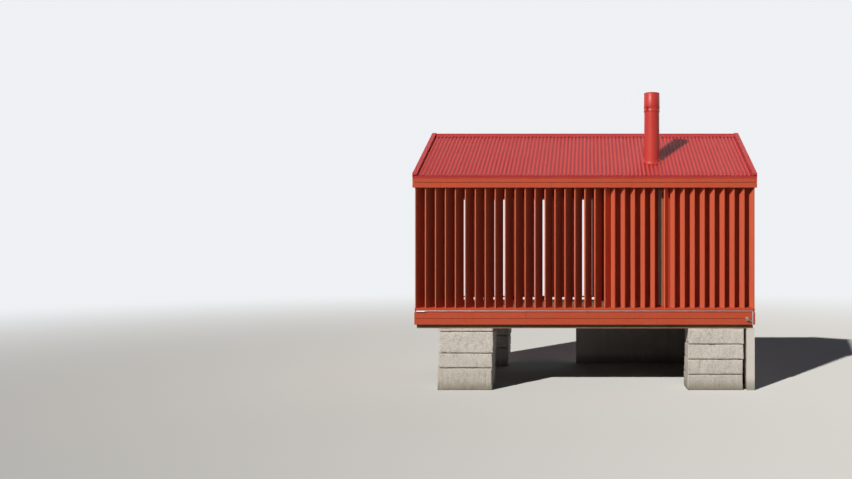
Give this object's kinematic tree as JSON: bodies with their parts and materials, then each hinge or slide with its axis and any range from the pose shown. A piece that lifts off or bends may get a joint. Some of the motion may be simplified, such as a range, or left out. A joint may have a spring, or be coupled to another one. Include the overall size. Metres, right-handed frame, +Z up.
{
  "type": "slatted boathouse on granite piers",
  "caption": "Small red timber boathouse with upright slat walls, corrugated metal gable roof and round chimney, standing on granite piers and a concrete footing.",
  "frame": {"origin": "bottom centre of the bounding box, at the waterline below the middle of the building", "axes": "+X along the long side toward the land, +Y away from the water side that the picture shows, +Z up"},
  "size_m": [6.488, 4.024, 5.7259],
  "materials": {
    "granite": "matte",
    "concrete": "matte",
    "bare_timber": "matte",
    "red_timber": "satin",
    "red_slats": "satin",
    "red_lining": "matte",
    "window_glass": "gloss",
    "red_roof_metal": "satin",
    "red_trim_metal": "satin",
    "red_chimney_metal": "gloss",
    "steel_pipe": "satin"
  },
  "bodies": {
    "root": {"front_sea_pier": "granite", "back_sea_pier": "granite", "front_land_pier": "granite", "landward_end_footing": "concrete", "back_footing": "concrete", "floor_beams": "bare_timber", "floor_joists": "bare_timber", "floor_deck": "bare_timber", "front_base_boards": "red_timber", "back_base_boards": "red_timber", "end_base_boards": "red_timber", "front_sill": "red_timber", "back_sill": "red_timber", "end_sills": "red_timber", "front_posts": "red_timber", "back_posts": "red_timber", "front_wall_plate": "red_timber", "back_wall_plate": "red_timber", "end_plates": "red_timber", "front_seaward_slats": "red_slats", "front_landward_slats": "red_slats", "back_seaward_slats": "red_slats", "back_landward_slats": "red_slats", "seaward_end_slats": "red_slats", "landward_end_slats": "red_slats", "front_lining": "red_lining", "back_lining": "red_lining", "landward_end_lining": "red_lining", "door_lining": "red_timber", "window_frame": "red_timber", "window_pane": "window_glass", "seaward_gable": "red_timber", "landward_gable": "red_timber", "front_rafters": "bare_timber", "back_rafters": "bare_timber", "ridge_beam": "bare_timber", "front_battens": "bare_timber", "back_battens": "bare_timber", "front_roof_sheet": "red_roof_metal", "back_roof_sheet": "red_roof_metal", "ridge_cap": "red_trim_metal", "front_verge_trims": "red_trim_metal", "back_verge_trims": "red_trim_metal", "front_eave_boards": "red_timber", "back_eave_boards": "red_timber", "front_eave_flashing": "red_trim_metal", "back_eave_flashing": "red_trim_metal", "chimney_pipe": "red_chimney_metal", "chimney_band": "red_chimney_metal", "chimney_collar": "red_chimney_metal", "water_pipe": "steel_pipe", "water_tap": "steel_pipe"}
  },
  "joints": []
}
